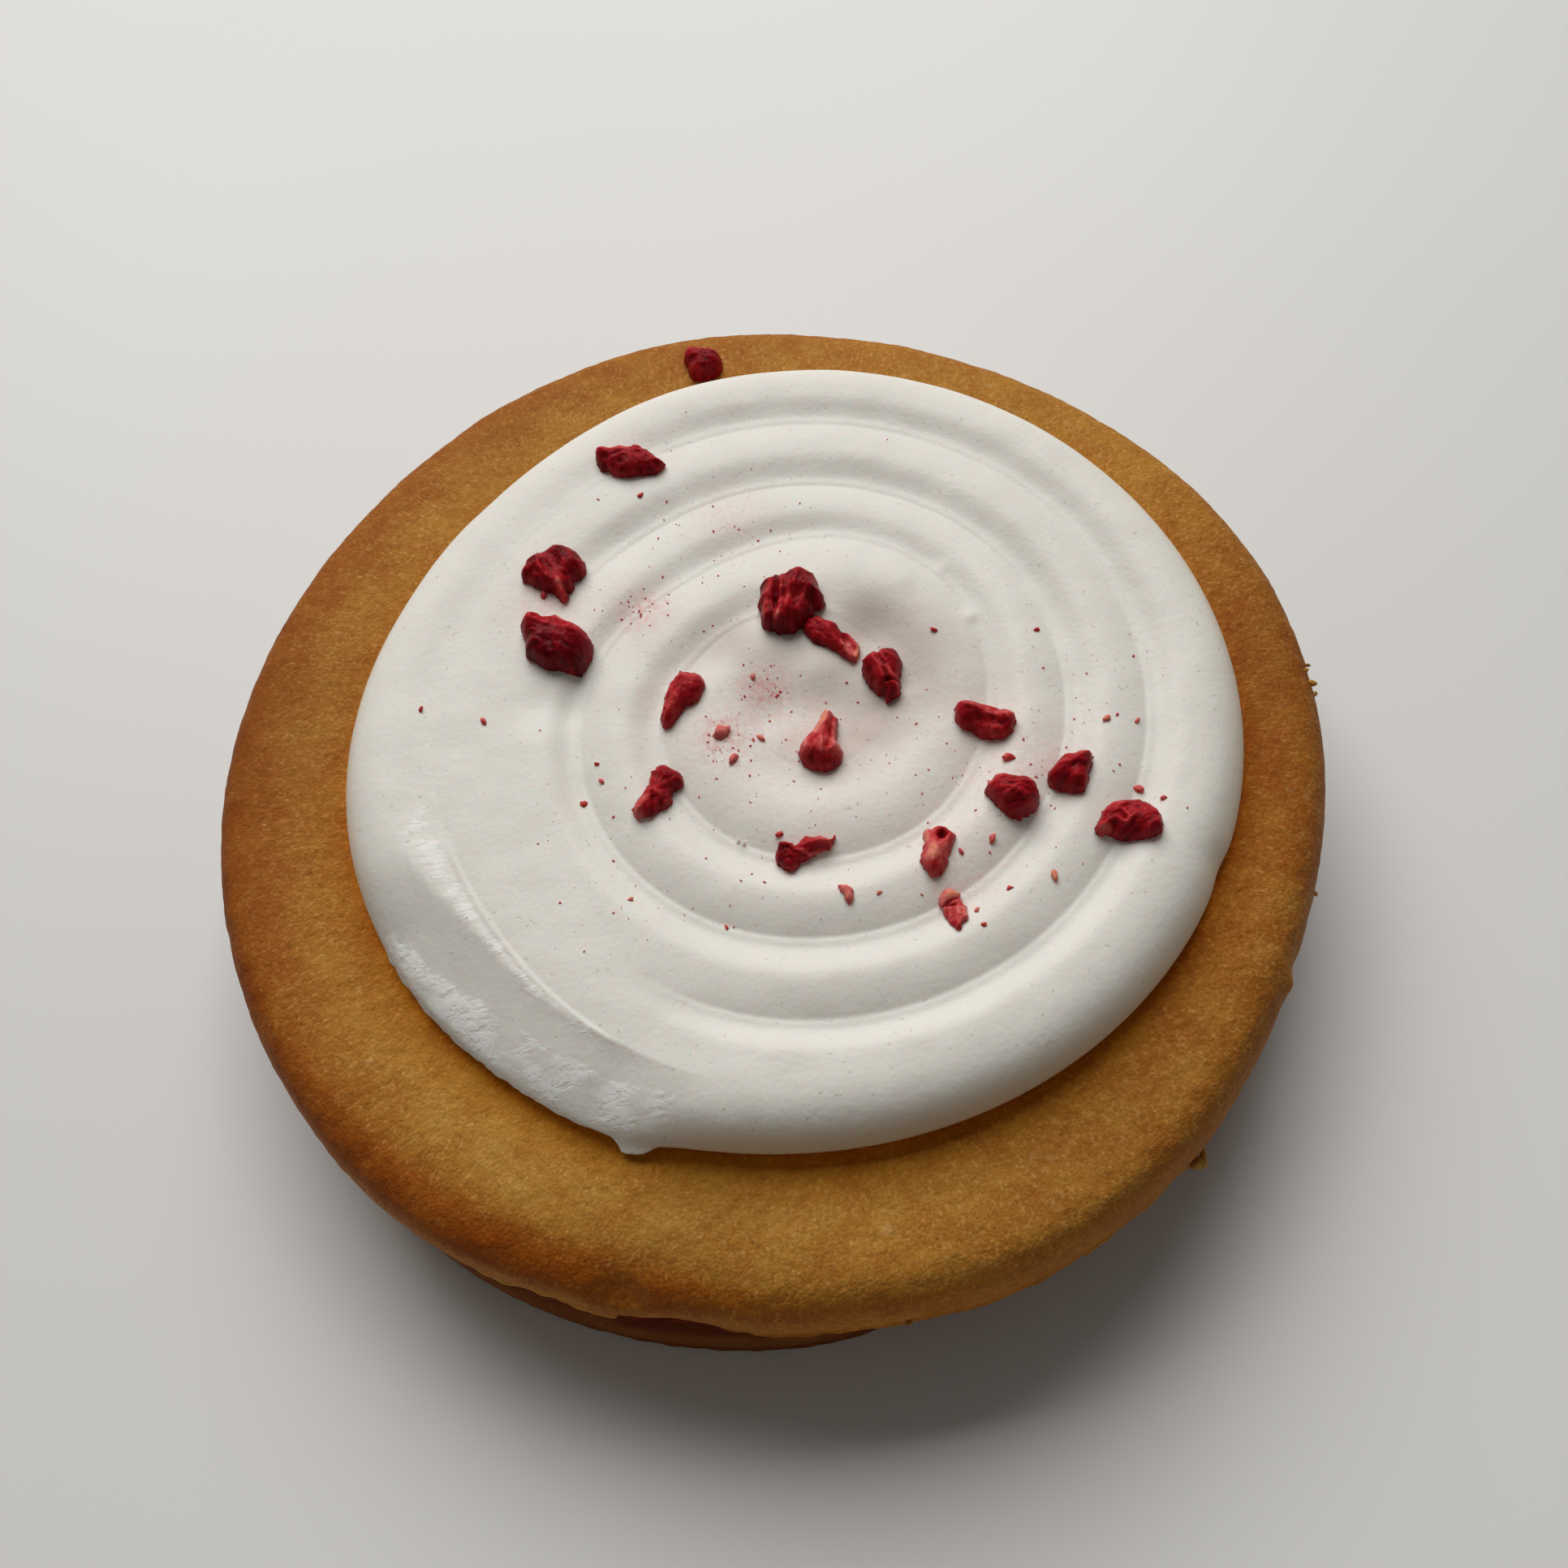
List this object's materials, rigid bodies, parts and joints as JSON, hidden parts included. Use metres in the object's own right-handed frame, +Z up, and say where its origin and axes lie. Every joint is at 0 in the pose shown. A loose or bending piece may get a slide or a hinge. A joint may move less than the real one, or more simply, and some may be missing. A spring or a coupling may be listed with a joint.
{
  "type": "empire biscuit",
  "caption": "Round shortbread sandwich biscuit with a jam layer, a piped spiral of white icing and freeze-dried raspberry pieces on top.",
  "frame": {"origin": "on the surface the biscuit rests on, under the middle of its bounding box", "axes": "+Z up through the stack from the lower round to the icing; -Y is the side with the end of the piped icing, +X to the right of it"},
  "size_m": [0.0806, 0.0806, 0.0211],
  "materials": {
    "shortbread": "baked golden brown crust with a fine sugary grain, matt",
    "jam": "dark red, wet and glossy",
    "icing": "set white icing, satin",
    "raspberry": "freeze-dried raspberry, wrinkled, dark red to pink"
  },
  "bodies": {
    "root": {"bottom_biscuit": "shortbread", "jam_filling": "jam", "top_biscuit": "shortbread", "icing": "icing", "raspberry_01": "raspberry", "raspberry_02": "raspberry", "raspberry_03": "raspberry", "raspberry_04": "raspberry", "raspberry_05": "raspberry", "raspberry_06": "raspberry", "raspberry_07": "raspberry", "raspberry_08": "raspberry", "raspberry_09": "raspberry", "raspberry_10": "raspberry", "raspberry_11": "raspberry", "raspberry_12": "raspberry", "raspberry_13": "raspberry", "raspberry_14": "raspberry", "raspberry_15": "raspberry", "raspberry_16": "raspberry", "raspberry_17": "raspberry", "raspberry_18": "raspberry"}
  },
  "joints": []
}
